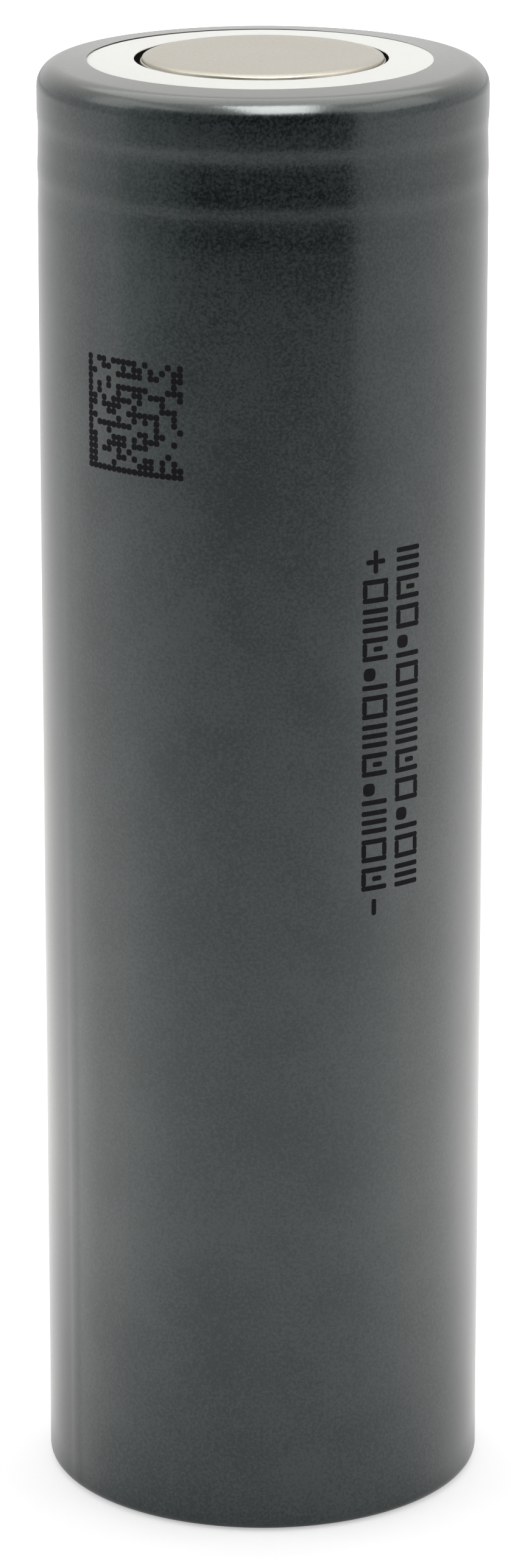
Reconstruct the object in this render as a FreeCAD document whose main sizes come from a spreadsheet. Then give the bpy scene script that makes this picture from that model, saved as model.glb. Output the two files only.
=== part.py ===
"""A cylindrical lithium-ion battery cell of the 21 mm by 70 mm size, with every piece it is wound and closed from.

The cell stands on its negative end. The origin is the middle of that end and +Z points at the positive cap.
Outside to inside it has a shrink sleeve, a steel can with a rolled bead and a crimped rim, a header that
closes the can (gasket, cap, vent disc and current interrupter) and a wound roll of two coated foils and two
separators, with a tab from each foil to its terminal.
"""
import FreeCAD, Part
import math
import os
import re
import Sketcher

doc = FreeCAD.newDocument("cylindrical_battery_cell")

# ---------------------------------------------------------------- driving dimensions, in millimetres

DIMENSIONS = [
    ("cell_diameter", 21.2, "over the sleeve"),
    ("cell_height", 70.2, "from the base to the top of the cap"),
    ("sleeve_film", 0.1, "thickness of the shrink film"),
    ("sleeve_top_opening", 16.3, "diameter that the top fold leaves bare"),
    ("sleeve_bottom_opening", 15.0, "diameter that the bottom fold leaves bare"),
    ("sleeve_shoulder_radius", 1.1, "outside, where the film turns onto the top"),
    ("cap_rise", 0.2, "top of the cap above the top fold"),
    ("washer_thickness", 0.3, "white ring under the top fold"),
    ("washer_diameter", 19.0, "outside"),
    ("washer_hole", 11.94, "around the cap"),
    ("washer_lift", 0.14, "how much higher the ring is at its hole"),
    ("can_wall", 0.25, "steel of the side, bead and crimp"),
    ("can_floor", 0.3, "steel of the bottom"),
    ("can_corner_radius", 0.4, "outside, at the bottom"),
    ("crimp_opening", 16.6, "inside the crimped rim"),
    ("crimp_radius", 0.8, "outside of the crimped bend"),
    ("bead_depth", 1.3, "of the rolled groove"),
    ("bead_half_opening", 1.6, "half of the groove's height at the wall"),
    ("bead_half_root", 0.55, "half of the groove's height at its bottom"),
    ("bead_edge_radius", 0.8, "outside, where the wall turns into the groove"),
    ("bead_root_radius", 0.3, "outside, at the bottom of the groove"),
    ("gasket_wall", 0.5, "plastic between the header and the can"),
    ("gasket_flange", 0.45, "plastic above and below the header"),
    ("gasket_opening", 15.6, "inside the upper flange"),
    ("gasket_floor_opening", 17.6, "inside the lower flange"),
    ("gasket_seat", 0.27, "height of the slope that rests on the bead"),
    ("cap_sheet", 0.45, "steel of the cap"),
    ("cap_top_diameter", 11.0, "raised disc of the cap"),
    ("cap_foot_diameter", 11.6, "where the raised disc meets the flange"),
    ("cap_edge_radius", 0.3, "outside, round the raised disc"),
    ("cap_window_width", 3.2, "vent window in the side of the cap"),
    ("cap_window_height", 0.5, "vent window in the side of the cap"),
    ("cap_window_count", 4, "vent windows"),
    ("vent_sheet", 0.35, "aluminium of the vent disc"),
    ("vent_dish_diameter", 14.4, "where the dish starts"),
    ("vent_dish_floor", 13.2, "flat bottom of the dish"),
    ("vent_dish_depth", 0.7, "of the dish"),
    ("vent_boss_diameter", 3.2, "welded boss in the middle"),
    ("vent_score_diameter", 10.0, "ring score that tears"),
    ("vent_score_width", 0.5, "ring score"),
    ("vent_score_depth", 0.2, "ring score"),
    ("cid_sheet", 0.5, "aluminium of the contact plate"),
    ("cid_plate_diameter", 16.2, "contact plate"),
    ("cid_wall", 0.4, "plastic round the contact plate"),
    ("cid_ring_opening", 14.7, "inside the plastic ring"),
    ("cid_drop", 1.05, "vent flange down to the contact plate"),
    ("cid_hole_diameter", 1.8, "gas hole in the contact plate"),
    ("cid_hole_circle", 9.2, "circle of the gas holes"),
    ("cid_hole_count", 6, "gas holes"),
    ("insulator_thickness", 0.3, "upper insulator"),
    ("insulator_hole", 4.0, "middle hole of both insulators"),
    ("insulator_gap", 0.25, "between the upper insulator and the can"),
    ("floor_insulator_thickness", 0.3, "lower insulator"),
    ("floor_insulator_gap", 0.65, "between the lower insulator and the can"),
    ("bead_clearance", 0.02, "upper insulator below the bead's slope"),
    ("core_radius", 2.0, "hollow in the middle of the roll"),
    ("roll_clearance", 0.1, "least gap from the wound roll to the can"),
    ("cathode_foil_thickness", 0.016, "aluminium"),
    ("cathode_coating_thickness", 0.0756, "on each side"),
    ("anode_foil_thickness", 0.012, "copper"),
    ("anode_coating_thickness", 0.0852, "on each side"),
    ("separator_thickness", 0.012, "porous film"),
    ("anode_margin", 0.9, "separator beyond the anode at each end"),
    ("cathode_margin", 0.5, "anode beyond the cathode at each end"),
    ("tape_thickness", 0.05, "over a bare patch of foil"),
    ("closing_tape_thickness", 0.03, "round the finished roll"),
    ("closing_tape_margin", 2.0, "roll left bare at each end"),
    ("bare_patch_length", 8.0, "uncoated foil at the positive tab"),
    ("patch_turn", 12, "turn of the roll that holds the positive tab"),
    ("tab_width", 4.0, "both tabs"),
    ("tab_end_margin", 5.0, "foil's far edge to the end of the tab"),
    ("positive_tab_thickness", 0.07, "aluminium"),
    ("negative_tab_thickness", 0.08, "nickel"),
    ("tab_rise", 0.35, "positive tab's first leg above the insulator"),
    ("tab_reach", 4.0, "first leg past the middle"),
    ("tab_weld_length", 7.0, "second leg under the contact plate"),
    ("floor_weld_reach", 2.5, "negative tab past the middle"),
    ("slot_clearance", 0.25, "round the tab where it passes the insulator"),
]

dims = doc.addObject("Spreadsheet::Sheet", "dims")
for row, (alias, value, note) in enumerate(DIMENSIONS, start=1):
    dims.set(f"A{row}", alias)
    dims.set(f"B{row}", str(value))
    dims.set(f"C{row}", note)
    dims.setAlias(f"B{row}", alias)
doc.recompute()


def size(expression):
    """The value of an expression of the sheet's aliases."""
    return float(dims.evalExpression(expression))


def bound(expression):
    """The same expression as an object outside the sheet writes it. Every alias has an underscore."""
    return re.sub(r"\b([a-z]+_[a-z_]+)\b", r"dims.\1", expression)


# ---------------------------------------------------------------- radii and heights that follow from the sheet

SLEEVE_OUT = "(cell_diameter / 2)"
WALL_OUT = f"({SLEEVE_OUT} - sleeve_film)"
WALL_IN = f"({WALL_OUT} - can_wall)"
HEADER_RADIUS = f"({WALL_IN} - gasket_wall)"
INSULATOR_RADIUS = f"({WALL_IN} - insulator_gap)"

# the header is stacked down from the top fold of the sleeve
SLEEVE_TOP = "(cell_height - cap_rise)"
WASHER_TOP = f"({SLEEVE_TOP} - sleeve_film)"
CRIMP_TOP = f"({WASHER_TOP} - washer_thickness)"
CRIMP_UNDER = f"({CRIMP_TOP} - can_wall)"
CAP_FLANGE_TOP = f"({CRIMP_UNDER} - gasket_flange)"
VENT_TOP = f"({CAP_FLANGE_TOP} - cap_sheet)"
VENT_UNDER = f"({VENT_TOP} - vent_sheet)"
GASKET_UNDER = f"({VENT_UNDER} - gasket_flange)"
DISH_TOP = f"({VENT_TOP} - vent_dish_depth)"
CONTACT_TOP = f"({VENT_UNDER} - cid_drop)"
CONTACT_UNDER = f"({CONTACT_TOP} - cid_sheet)"

# the bead's flanks slope by bead_depth over BEAD_RUN, and the inside of the steel lies BEAD_CORNER further out
BEAD_RUN = "(bead_half_opening - bead_half_root)"
BEAD_CORNER = f"(can_wall * tan(atan(bead_depth / {BEAD_RUN}) / 2))"
BEAD_HALF_INSIDE = f"(bead_half_opening + {BEAD_CORNER})"
BEAD_MIDDLE = f"({GASKET_UNDER} + gasket_seat - {BEAD_HALF_INSIDE})"

# the roll fills what is left between the can's floor and the bead
CAN_UNDER = "sleeve_film"
FLOOR_TOP = f"({CAN_UNDER} + can_floor)"
ROLL_BOTTOM = f"({FLOOR_TOP} + negative_tab_thickness + floor_insulator_thickness)"
BEAD_OVER_EDGE = f"({BEAD_MIDDLE} - {BEAD_HALF_INSIDE} + insulator_gap * {BEAD_RUN} / bead_depth)"
INSULATOR_TOP = f"({BEAD_OVER_EDGE} - bead_clearance)"
ROLL_TOP = f"({INSULATOR_TOP} - insulator_thickness)"

PARTS = []


# ---------------------------------------------------------------- ways of making a piece

def new_body(label):
    body = doc.addObject("PartDesign::Body", label)
    body.Label = label
    PARTS.append(body)
    return body


def origin_item(body, role):
    return next(item for item in body.Origin.OriginFeatures if item.Role == role)


def outline_sketch(body, name, plane, corners):
    """A closed sketch of straight sides, each corner held by its two expressions."""
    sketch = body.newObject("Sketcher::SketchObject", name)
    sketch.AttachmentSupport = [(origin_item(body, plane), "")]
    sketch.MapMode = "FlatFace"
    points = [FreeCAD.Vector(size(across), size(up), 0) for across, up in corners]
    for i, start in enumerate(points):
        sketch.addGeometry(Part.LineSegment(start, points[(i + 1) % len(points)]), False)
    for i in range(len(points)):
        sketch.addConstraint(Sketcher.Constraint("Coincident", i, 2, (i + 1) % len(points), 1))
    for i, (across, up) in enumerate(corners):
        for kind, expression, value in (("DistanceX", across, points[i].x), ("DistanceY", up, points[i].y)):
            if expression == "0":
                axis = -2 if kind == "DistanceX" else -1
                sketch.addConstraint(Sketcher.Constraint("PointOnObject", i, 1, axis))
            else:
                number = sketch.addConstraint(Sketcher.Constraint(kind, -1, 1, i, 1, value))
                sketch.setExpression(f"Constraints[{number}]", bound(expression))
    return sketch


def round_corners(body, corners):
    """Fillet the circular edge at each (radius, height), given with the fillet's own radius."""
    for across, up, radius in corners:
        doc.recompute()
        base = body.Tip
        names = [
            f"Edge{i}"
            for i, edge in enumerate(base.Shape.Edges, start=1)
            if hasattr(edge.Curve, "Radius")
            and abs(edge.Curve.Radius - size(across)) < 1e-4
            and abs(edge.Curve.Center.z - size(up)) < 1e-4
        ]
        fillet = body.newObject("PartDesign::Fillet", f"{body.Label}_round")
        fillet.Base = (base, names)
        fillet.Radius = size(radius)
        fillet.setExpression("Radius", bound(radius))


def turned(label, corners, rounds=()):
    """A body turned about Z from an outline of (radius, height) corners."""
    body = new_body(label)
    sketch = outline_sketch(body, f"{label}_section", "XZ_Plane", corners)
    turn = body.newObject("PartDesign::Revolution", f"{label}_turn")
    turn.Profile = sketch
    turn.ReferenceAxis = (sketch, ["V_Axis"])
    turn.Angle = 360.0
    round_corners(body, rounds)
    doc.recompute()
    return body


def cut_through(body, sketch, depth, count=None, both_ways=True):
    """A pocket both ways from the sketch, or one way, repeated about Z. It must take material away."""
    doc.recompute()
    before = body.Shape.Volume
    pocket = body.newObject("PartDesign::Pocket", f"{body.Label}_cut")
    pocket.Profile = sketch
    pocket.Type = "Length"
    pocket.Length = size(depth)
    pocket.setExpression("Length", bound(depth))
    pocket.Midplane = both_ways
    if count:
        doc.recompute()
        pattern = body.newObject("PartDesign::PolarPattern", f"{body.Label}_ring")
        pattern.Originals = [pocket]
        pattern.Axis = (origin_item(body, "Z_Axis"), [""])
        pattern.Angle = 360.0
        pattern.Occurrences = int(size(count))
        pattern.setExpression("Occurrences", bound(count))
        body.Tip = pattern
    doc.recompute()
    if body.Shape.Volume >= before:
        raise RuntimeError(f"{body.Label}: the cut took nothing away")


def round_hole(body, name, radius, across="0"):
    """A sketch of one circle on the XY plane, its middle on the X axis."""
    sketch = body.newObject("Sketcher::SketchObject", name)
    sketch.AttachmentSupport = [(origin_item(body, "XY_Plane"), "")]
    sketch.MapMode = "FlatFace"
    middle = FreeCAD.Vector(size(across), 0, 0)
    sketch.addGeometry(Part.Circle(middle, FreeCAD.Vector(0, 0, 1), size(radius)), False)
    number = sketch.addConstraint(Sketcher.Constraint("Radius", 0, size(radius)))
    sketch.setExpression(f"Constraints[{number}]", bound(radius))
    if across == "0":
        sketch.addConstraint(Sketcher.Constraint("Coincident", 0, 3, -1, 1))
    else:
        sketch.addConstraint(Sketcher.Constraint("PointOnObject", 0, 3, -1))
        number = sketch.addConstraint(Sketcher.Constraint("DistanceX", -1, 1, 0, 3, middle.x))
        sketch.setExpression(f"Constraints[{number}]", bound(across))
    return sketch


# ---------------------------------------------------------------- what shows from outside

def sleeve():
    """Shrink film: the wall, which spans the bead straight, and a fold over each end."""
    bottom_hole, top_hole = "sleeve_bottom_opening / 2", "sleeve_top_opening / 2"
    turned(
        "sleeve",
        [
            (bottom_hole, "0"),
            (SLEEVE_OUT, "0"),
            (SLEEVE_OUT, SLEEVE_TOP),
            (top_hole, SLEEVE_TOP),
            (top_hole, WASHER_TOP),
            (WALL_OUT, WASHER_TOP),
            (WALL_OUT, CAN_UNDER),
            (bottom_hole, CAN_UNDER),
        ],
        [
            (SLEEVE_OUT, "0", "can_corner_radius + sleeve_film"),
            (WALL_OUT, CAN_UNDER, "can_corner_radius"),
            (SLEEVE_OUT, SLEEVE_TOP, "sleeve_shoulder_radius"),
            (WALL_OUT, WASHER_TOP, "sleeve_shoulder_radius - sleeve_film"),
        ],
    )


def top_washer():
    """The white insulating ring. The top fold holds it flat on the crimped rim, and it rises to its hole."""
    hole, flat, rim = "washer_hole / 2", "sleeve_top_opening / 2", "washer_diameter / 2"
    turned(
        "top_insulator_ring",
        [
            (hole, f"{CRIMP_TOP} + washer_lift"),
            (flat, CRIMP_TOP),
            (rim, CRIMP_TOP),
            (rim, WASHER_TOP),
            (flat, WASHER_TOP),
            (hole, f"{WASHER_TOP} + washer_lift"),
        ],
    )


def can():
    """Deep-drawn steel can: flat bottom, side wall, bead rolled inwards, rim crimped over the gasket."""
    middle, corner = BEAD_MIDDLE, BEAD_CORNER
    root_out, root_in = f"({WALL_OUT} - bead_depth)", f"({WALL_IN} - bead_depth)"
    mouth = "crimp_opening / 2"
    outside = [(WALL_OUT, f"{middle} - bead_half_opening"), (root_out, f"{middle} - bead_half_root")]
    outside += [(root_out, f"{middle} + bead_half_root"), (WALL_OUT, f"{middle} + bead_half_opening")]
    inside = [(WALL_IN, f"{middle} + bead_half_opening + {corner}")]
    inside += [(root_in, f"{middle} + bead_half_root + {corner}")]
    inside += [(root_in, f"{middle} - bead_half_root - {corner}")]
    inside += [(WALL_IN, f"{middle} - bead_half_opening - {corner}")]
    edge_radius, root_radius = "bead_edge_radius", "bead_root_radius"
    turned(
        "can",
        [("0", CAN_UNDER), (WALL_OUT, CAN_UNDER)]
        + outside
        + [(WALL_OUT, CRIMP_TOP), (mouth, CRIMP_TOP), (mouth, CRIMP_UNDER), (WALL_IN, CRIMP_UNDER)]
        + inside
        + [(WALL_IN, FLOOR_TOP), ("0", FLOOR_TOP)],
        [
            (WALL_OUT, CAN_UNDER, "can_corner_radius"),
            (WALL_IN, FLOOR_TOP, "can_corner_radius - can_wall"),
            (WALL_OUT, CRIMP_TOP, "crimp_radius"),
            (WALL_IN, CRIMP_UNDER, "crimp_radius - can_wall"),
            (*outside[0], edge_radius),
            (*outside[1], root_radius),
            (*outside[2], root_radius),
            (*outside[3], edge_radius),
            (*inside[0], f"{edge_radius} - can_wall"),
            (*inside[1], f"{root_radius} + can_wall"),
            (*inside[2], f"{root_radius} + can_wall"),
            (*inside[3], f"{edge_radius} - can_wall"),
        ],
    )


def positive_cap():
    """Pressed steel hat: a flange clamped in the gasket, a raised contact disc, vent windows in its side."""
    top, foot, rim = "cap_top_diameter / 2", "cap_foot_diameter / 2", HEADER_RADIUS
    under = "cell_height - cap_sheet"
    cap = turned(
        "positive_cap",
        [
            ("0", "cell_height"),
            (top, "cell_height"),
            (foot, CAP_FLANGE_TOP),
            (rim, CAP_FLANGE_TOP),
            (rim, VENT_TOP),
            (f"{foot} - cap_sheet", VENT_TOP),
            (f"{top} - cap_sheet", under),
            ("0", under),
        ],
        [(top, "cell_height", "cap_edge_radius"), (foot, CAP_FLANGE_TOP, "cap_edge_radius")],
    )
    half, floor = "cap_window_width / 2", CAP_FLANGE_TOP
    roof = f"{floor} + cap_window_height"
    window = outline_sketch(
        cap,
        "cap_window",
        "YZ_Plane",
        [(f"-{half}", floor), (half, floor), (half, roof), (f"-{half}", roof)],
    )
    cut_through(cap, window, f"{foot} + cap_edge_radius", "cap_window_count", both_ways=False)


# ---------------------------------------------------------------- the rest of the header

def header_gasket():
    """Plastic ring that seals and insulates the header: a wall and two flanges, its foot on the bead's slope."""
    opening, floor_opening = "gasket_opening / 2", "gasket_floor_opening / 2"
    turned(
        "header_gasket",
        [
            (floor_opening, GASKET_UNDER),
            (f"{WALL_IN} - gasket_seat * bead_depth / {BEAD_RUN}", GASKET_UNDER),
            (WALL_IN, f"{GASKET_UNDER} + gasket_seat"),
            (WALL_IN, CRIMP_UNDER),
            (opening, CRIMP_UNDER),
            (opening, CAP_FLANGE_TOP),
            (HEADER_RADIUS, CAP_FLANGE_TOP),
            (HEADER_RADIUS, VENT_UNDER),
            (floor_opening, VENT_UNDER),
        ],
        [
            (WALL_IN, CRIMP_UNDER, "crimp_radius - can_wall"),
            (WALL_IN, f"{GASKET_UNDER} + gasket_seat", "bead_edge_radius - can_wall"),
        ],
    )


def vent_disc():
    """Scored aluminium disc under the cap. Its boss is welded to the contact plate until pressure lifts it."""
    boss, floor, dish = "vent_boss_diameter / 2", "vent_dish_floor / 2", "vent_dish_diameter / 2"
    score_in = "(vent_score_diameter - vent_score_width) / 2"
    score_out = "(vent_score_diameter + vent_score_width) / 2"
    turned(
        "vent_disc",
        [
            ("0", f"{CONTACT_TOP} + vent_sheet"),
            (f"{boss} - vent_sheet", f"{CONTACT_TOP} + vent_sheet"),
            (f"{boss} - vent_sheet", DISH_TOP),
            (score_in, DISH_TOP),
            ("vent_score_diameter / 2", f"{DISH_TOP} - vent_score_depth"),
            (score_out, DISH_TOP),
            (floor, DISH_TOP),
            (dish, VENT_TOP),
            (HEADER_RADIUS, VENT_TOP),
            (HEADER_RADIUS, VENT_UNDER),
            (dish, VENT_UNDER),
            (floor, f"{DISH_TOP} - vent_sheet"),
            (boss, f"{DISH_TOP} - vent_sheet"),
            (boss, CONTACT_TOP),
            ("0", CONTACT_TOP),
        ],
    )


def cid_insulator():
    """Plastic ring that keeps the rim of the contact plate apart from the vent disc."""
    opening, plate = "cid_ring_opening / 2", "cid_plate_diameter / 2"
    turned(
        "cid_insulator",
        [
            (opening, CONTACT_TOP),
            (opening, VENT_UNDER),
            (f"{plate} + cid_wall", VENT_UNDER),
            (f"{plate} + cid_wall", CONTACT_UNDER),
            (plate, CONTACT_UNDER),
            (plate, CONTACT_TOP),
        ],
    )


def cid_plate():
    """Contact plate of the current interrupter, with gas holes. The positive tab is welded under it."""
    rim = "cid_plate_diameter / 2"
    plate = turned(
        "cid_plate",
        [("0", CONTACT_UNDER), (rim, CONTACT_UNDER), (rim, CONTACT_TOP), ("0", CONTACT_TOP)],
    )
    hole = round_hole(plate, "gas_hole", "cid_hole_diameter / 2", "cid_hole_circle / 2")
    cut_through(plate, hole, "2 * cell_height", "cid_hole_count")


# ---------------------------------------------------------------- the wound roll

class Roll:
    """Every sheet follows one two-centre spiral, so that neighbouring sheets lie face to face.

    A place along a sheet is counted in half turns from the start of the innermost one. Even half turns are
    centred on the roll's own origin and odd ones half a pitch beside it, with radii larger by half a pitch.
    """

    order = [
        ("cathode_inner_coating", "cathode_coating_thickness"),
        ("cathode_foil", "cathode_foil_thickness"),
        ("cathode_outer_coating", "cathode_coating_thickness"),
        ("inner_separator", "separator_thickness"),
        ("anode_inner_coating", "anode_coating_thickness"),
        ("anode_foil", "anode_foil_thickness"),
        ("anode_outer_coating", "anode_coating_thickness"),
        ("outer_separator", "separator_thickness"),
    ]

    def __init__(self):
        self.core = size("core_radius")
        self.depth = {}
        self.pitch = 0.0
        for name, thickness in self.order:
            self.depth[name] = self.pitch
            self.pitch += size(thickness)
        room = size(f"{WALL_IN} - roll_clearance - closing_tape_thickness - core_radius") - self.pitch / 2
        self.half_turns = 2 * int(room / self.pitch)

    def radius(self, half_turn, depth):
        return self.core + half_turn * self.pitch / 2 + depth

    def centre(self, half_turn):
        return FreeCAD.Vector(self.pitch / 2 * (half_turn % 2), 0, 0)

    def point(self, half_turn, share, depth):
        angle = math.pi * (half_turn + share)
        reach = FreeCAD.Vector(math.cos(angle), math.sin(angle), 0) * self.radius(half_turn, depth)
        return self.centre(half_turn) + reach

    def side(self, start, end, depth):
        """The arcs of one face of a sheet, from one place along it to another."""
        arcs = []
        for half_turn in range(math.floor(start), math.ceil(end)):
            first = max(start - half_turn, 0)
            last = min(end - half_turn, 1)
            stops = [self.point(half_turn, share, depth) for share in (first, (first + last) / 2, last)]
            arcs.append(Part.Arc(*stops).toShape())
        return arcs

    def sheet(self, start, end, depth, thickness, width):
        """A solid strip of the spiral, as wide as given and standing on the roll's own XY plane."""
        inner = self.side(start, end, depth)
        outer = self.side(start, end, depth + thickness)
        ends = [
            Part.makeLine(inner[0].Vertexes[0].Point, outer[0].Vertexes[0].Point),
            Part.makeLine(inner[-1].Vertexes[-1].Point, outer[-1].Vertexes[-1].Point),
        ]
        wire = Part.Wire(Part.__sortEdges__(inner + outer + ends))
        return Part.Face(wire).extrude(FreeCAD.Vector(0, 0, width))


roll = Roll()
PATCH = 2 * int(size("patch_turn")) + 0.5
PATCH_RADIUS = roll.radius(math.floor(PATCH), roll.depth["cathode_outer_coating"])
PATCH_SHARE = size("bare_patch_length") / 2 / (math.pi * PATCH_RADIUS)
TAIL = roll.half_turns - 0.5
TAIL_RADIUS = roll.radius(math.floor(TAIL), roll.depth["anode_outer_coating"])
TAIL_SHARE = size("bare_patch_length") / 2 / (math.pi * TAIL_RADIUS)

CATHODE_BOTTOM = f"({ROLL_BOTTOM} + anode_margin + cathode_margin)"
CATHODE_WIDTH = f"({ROLL_TOP} - {ROLL_BOTTOM} - 2 * anode_margin - 2 * cathode_margin)"
ANODE_BOTTOM = f"({ROLL_BOTTOM} + anode_margin)"
ANODE_WIDTH = f"({ROLL_TOP} - {ROLL_BOTTOM} - 2 * anode_margin)"


def rolled_piece(label, solids, bottom):
    """A piece of the roll, made in the roll's own frame and then stood at its height on the cell's axis."""
    piece = doc.addObject("Part::Feature", label)
    piece.Label = label
    piece.Shape = solids[0] if len(solids) == 1 else Part.makeCompound(solids)
    piece.Placement = FreeCAD.Placement(FreeCAD.Vector(-roll.pitch / 2, 0, bottom), FreeCAD.Rotation())
    PARTS.append(piece)


def electrodes():
    """Cathode inside, anode outside it. The coatings leave the foil bare where each tab is welded."""
    last = roll.half_turns
    cathode_runs = [(2, PATCH - PATCH_SHARE), (PATCH + PATCH_SHARE, last - 1)]
    spans = {
        "cathode_foil": [(2, last - 1)],
        "cathode_inner_coating": cathode_runs,
        "cathode_outer_coating": cathode_runs,
        "anode_foil": [(1, last)],
        "anode_inner_coating": [(1, TAIL - TAIL_SHARE)],
        "anode_outer_coating": [(1, TAIL - TAIL_SHARE)],
        "inner_separator": [(0, last)],
        "outer_separator": [(0, last)],
    }
    heights = {
        "cathode": (CATHODE_BOTTOM, CATHODE_WIDTH),
        "anode": (ANODE_BOTTOM, ANODE_WIDTH),
        "inner": (ROLL_BOTTOM, f"{ROLL_TOP} - {ROLL_BOTTOM}"),
        "outer": (ROLL_BOTTOM, f"{ROLL_TOP} - {ROLL_BOTTOM}"),
    }
    for label, thickness in roll.order:
        bottom, width = heights[label.split("_")[0]]
        depth = roll.depth[label]
        strips = [roll.sheet(a, b, depth, size(thickness), size(width)) for a, b in spans[label]]
        rolled_piece(label, strips, size(bottom))


def tapes():
    """Tape behind each bare stretch of foil, and one turn of tape that holds the finished roll closed."""
    thickness = size("tape_thickness")
    behind_patch = roll.depth["cathode_foil"] - thickness
    patch = roll.sheet(
        PATCH - PATCH_SHARE, PATCH + PATCH_SHARE, behind_patch, thickness, size(CATHODE_WIDTH)
    )
    rolled_piece("cathode_tab_tape", [patch], size(CATHODE_BOTTOM))
    behind_tail = roll.depth["anode_foil"] - thickness
    tail = roll.sheet(TAIL - TAIL_SHARE, TAIL + TAIL_SHARE, behind_tail, thickness, size(ANODE_WIDTH))
    rolled_piece("anode_tab_tape", [tail], size(ANODE_BOTTOM))
    band = roll.sheet(
        roll.half_turns,
        roll.half_turns + 2,
        0,
        size("closing_tape_thickness"),
        size(f"{ROLL_TOP} - {ROLL_BOTTOM} - 2 * closing_tape_margin"),
    )
    rolled_piece("roll_closing_tape", [band], size(f"{ROLL_BOTTOM} + closing_tape_margin"))


# ---------------------------------------------------------------- tabs and insulating discs

def flat_leg(y_start, y_end, underside, thickness):
    """The level leg of a tab, as wide as both tabs are."""
    corner = FreeCAD.Vector(-size("tab_width") / 2, y_start, underside)
    return Part.makeBox(size("tab_width"), y_end - y_start, thickness, corner)


def positive_tab():
    """From the bare patch of the cathode foil up through the insulator, folded back under the contact plate."""
    thickness = size("positive_tab_thickness")
    share = size("tab_width") / 2 / (math.pi * PATCH_RADIUS)
    foot = size(f"{CATHODE_BOTTOM} + tab_end_margin")
    lower = size(f"{INSULATOR_TOP} + tab_rise")
    upper = size(CONTACT_UNDER) - thickness
    depth = roll.depth["cathode_outer_coating"]
    upright = roll.sheet(PATCH - share, PATCH + share, depth, thickness, lower + thickness - foot)
    upright.translate(FreeCAD.Vector(0, 0, foot))
    reach = -size("tab_reach")
    leg = flat_leg(reach, PATCH_RADIUS + thickness, lower, thickness)
    leg = leg.common(Part.makeCylinder(PATCH_RADIUS + thickness, size("cell_height")))
    weld = flat_leg(reach, reach + size("tab_weld_length"), upper, thickness)
    bend_radius = (upper + thickness - lower) / 2
    left = FreeCAD.Vector(-size("tab_width") / 2, reach, lower + bend_radius)
    sideways = FreeCAD.Vector(1, 0, 0)
    bend = Part.makeCylinder(bend_radius, size("tab_width"), left, sideways)
    bend = bend.cut(Part.makeCylinder(bend_radius - thickness, size("tab_width"), left, sideways))
    keep = Part.makeBox(size("tab_width"), bend_radius, 2 * bend_radius)
    keep.translate(FreeCAD.Vector(-size("tab_width") / 2, reach - bend_radius, lower))
    tab = upright.fuse([leg, bend.common(keep), weld]).removeSplitter()
    rolled_piece("positive_tab", tab.Solids, 0)


def negative_tab():
    """From the bare tail of the anode foil down past the insulator, folded in and welded to the can's floor."""
    thickness = size("negative_tab_thickness")
    share = size("tab_width") / 2 / (math.pi * TAIL_RADIUS)
    floor = size(FLOOR_TOP)
    top = size(f"{ANODE_BOTTOM} + {ANODE_WIDTH} - tab_end_margin")
    depth = roll.depth["anode_outer_coating"]
    upright = roll.sheet(TAIL - share, TAIL + share, depth, thickness, top - floor)
    upright.translate(FreeCAD.Vector(0, 0, floor))
    leg = flat_leg(-TAIL_RADIUS - thickness, size("floor_weld_reach"), floor, thickness)
    middle = roll.centre(1)
    leg.translate(middle)
    leg = leg.common(Part.makeCylinder(TAIL_RADIUS + thickness, size("cell_height"), middle))
    rolled_piece("negative_tab", upright.fuse(leg).removeSplitter().Solids, 0)


def upper_insulator():
    """Fibre disc on top of the roll, with a middle hole and a slot for the positive tab."""
    body = turned(
        "upper_insulator",
        [
            ("insulator_hole / 2", ROLL_TOP),
            (INSULATOR_RADIUS, ROLL_TOP),
            (INSULATOR_RADIUS, INSULATOR_TOP),
            ("insulator_hole / 2", INSULATOR_TOP),
        ],
    )
    cathode_sheet = "cathode_foil_thickness + 2 * cathode_coating_thickness"
    anode_sheet = "anode_foil_thickness + 2 * anode_coating_thickness"
    pitch = f"({cathode_sheet} + {anode_sheet} + 2 * separator_thickness)"
    near = f"(core_radius + patch_turn * {pitch} + cathode_foil_thickness + cathode_coating_thickness)"
    sag = f"({near} - sqrt({near} * {near} - tab_width * tab_width / 4))"
    half = "(tab_width / 2 + slot_clearance)"
    inner = f"{near} - {sag} - slot_clearance"
    outer = f"{near} + positive_tab_thickness + slot_clearance"
    left, right = f"-{half} - {pitch} / 2", f"{half} - {pitch} / 2"
    slot = outline_sketch(
        body, "tab_slot", "XY_Plane", [(left, inner), (right, inner), (right, outer), (left, outer)]
    )
    cut_through(body, slot, "2 * cell_height")


def lower_insulator():
    """Fibre disc between the roll and the folded negative tab."""
    rim = f"{WALL_IN} - floor_insulator_gap"
    under = f"{ROLL_BOTTOM} - floor_insulator_thickness"
    hole = "insulator_hole / 2"
    turned("lower_insulator", [(hole, under), (rim, under), (rim, ROLL_BOTTOM), (hole, ROLL_BOTTOM)])


# ---------------------------------------------------------------- build, check and write

for piece in (sleeve, top_washer, can, positive_cap, header_gasket, vent_disc, cid_insulator, cid_plate):
    piece()
for piece in (electrodes, tapes, positive_tab, negative_tab, upper_insulator, lower_insulator):
    piece()
doc.recompute()

for item in doc.Objects:
    if "Invalid" in item.State or "Error" in item.State:
        raise RuntimeError(f"{item.Label} failed: {item.State}")
for part in PARTS:
    shape = part.Shape
    if shape.isNull() or not shape.isValid() or not shape.Solids:
        raise RuntimeError(f"{part.Label} has no valid solid")

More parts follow.
